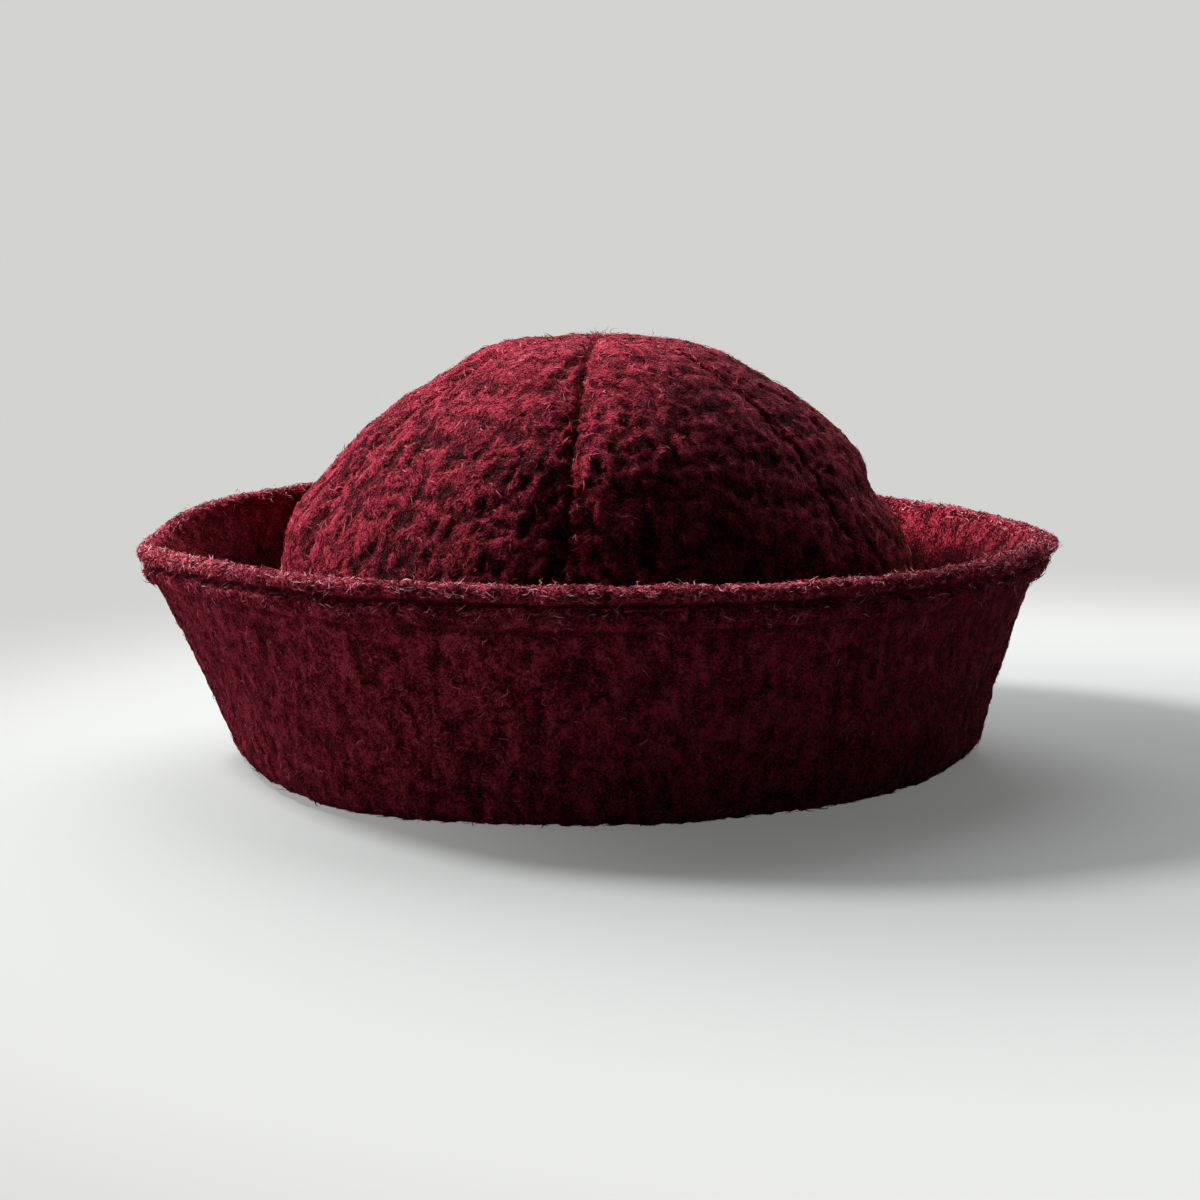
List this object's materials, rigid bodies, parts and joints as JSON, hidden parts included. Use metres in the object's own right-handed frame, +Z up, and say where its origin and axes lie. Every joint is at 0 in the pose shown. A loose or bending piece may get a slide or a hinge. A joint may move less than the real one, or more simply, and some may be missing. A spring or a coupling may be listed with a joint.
{
  "type": "sailor hat",
  "caption": "Boiled-wool sailor hat with a rounded crown of sewn gores and a doubled, turned-up brim with a rolled edge, open underneath for a head.",
  "frame": {"origin": "on the surface that the hat stands on, below the middle of the crown", "axes": "+Z up through the top of the crown, -Y towards the front of the hat, X across it"},
  "size_m": [0.2564, 0.2175, 0.1168],
  "materials": {
    "crown_wool": "boiled wool, fuzzy, burgundy flecked with black",
    "brim_wool": "boiled wool, fuzzy, burgundy flecked with black"
  },
  "bodies": {
    "root": {"crown_gore_1": "crown_wool", "crown_gore_2": "crown_wool", "crown_gore_3": "crown_wool", "crown_gore_4": "crown_wool", "crown_gore_5": "crown_wool", "crown_gore_6": "crown_wool", "brim_outer": "brim_wool", "brim_facing": "brim_wool"}
  },
  "joints": []
}
